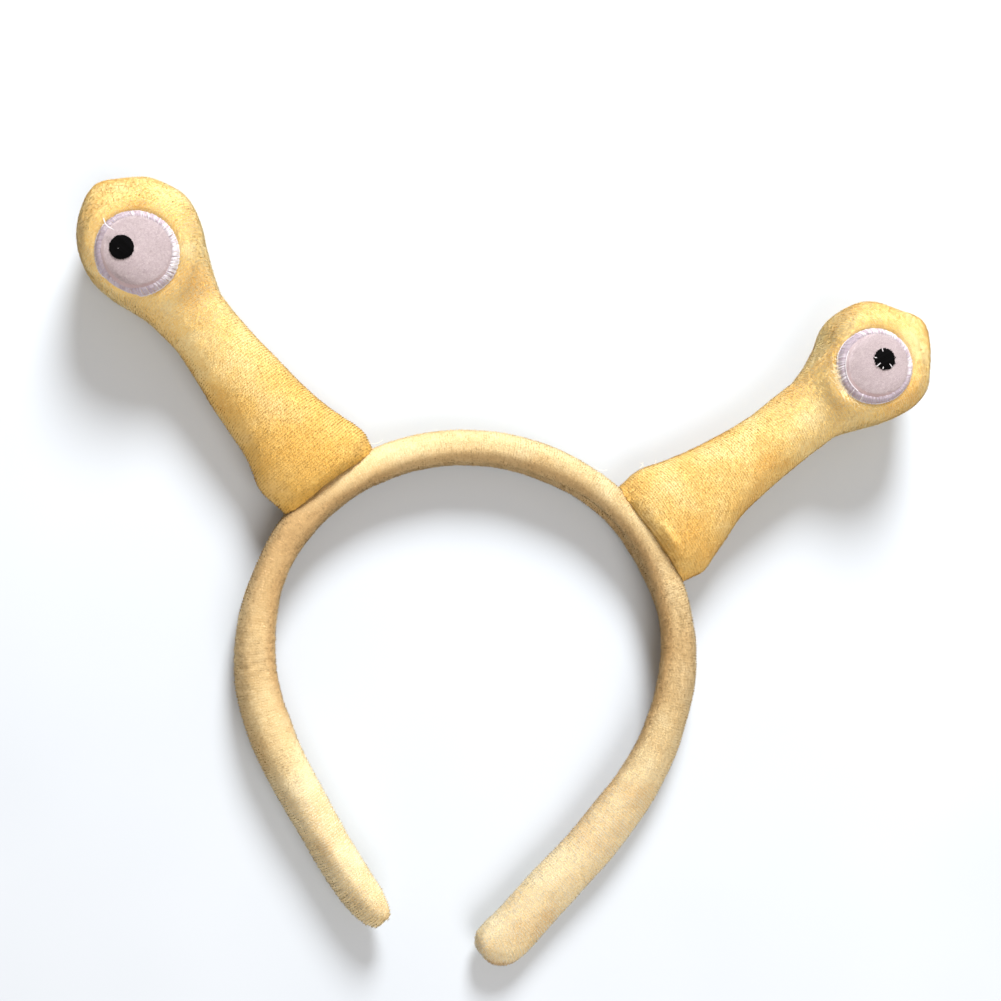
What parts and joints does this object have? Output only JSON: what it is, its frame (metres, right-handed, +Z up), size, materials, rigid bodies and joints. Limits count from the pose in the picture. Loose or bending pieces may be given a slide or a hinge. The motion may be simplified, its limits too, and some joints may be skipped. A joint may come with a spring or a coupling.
{
  "type": "snail eye headband",
  "caption": "Padded velvet hoop headband, open at its lower end, with two stuffed stalks that end in round heads with sewn felt eyes.",
  "frame": {"origin": "centre of the outline seen from the front, on the surface that the headband lies on", "axes": "+X to the right seen from the front, +Y from the hoop's two tips toward its crown, +Z up out of the front, where the eyes look"},
  "size_m": [0.271, 0.2232, 0.0355],
  "materials": {
    "band_velvet": "short cream velvet pile",
    "stalk_velvet": "short warm yellow velvet pile",
    "eye_felt": "matt brushed felt",
    "edging_thread": "satin stitched thread",
    "pupil_thread": "black embroidery thread"
  },
  "bodies": {
    "root": {"band_cover": "band_velvet", "left_stalk": "stalk_velvet", "right_stalk": "stalk_velvet", "left_eye_felt": "eye_felt", "right_eye_felt": "eye_felt", "left_eye_edging": "edging_thread", "right_eye_edging": "edging_thread", "left_pupil": "pupil_thread", "right_pupil": "pupil_thread"}
  },
  "joints": []
}
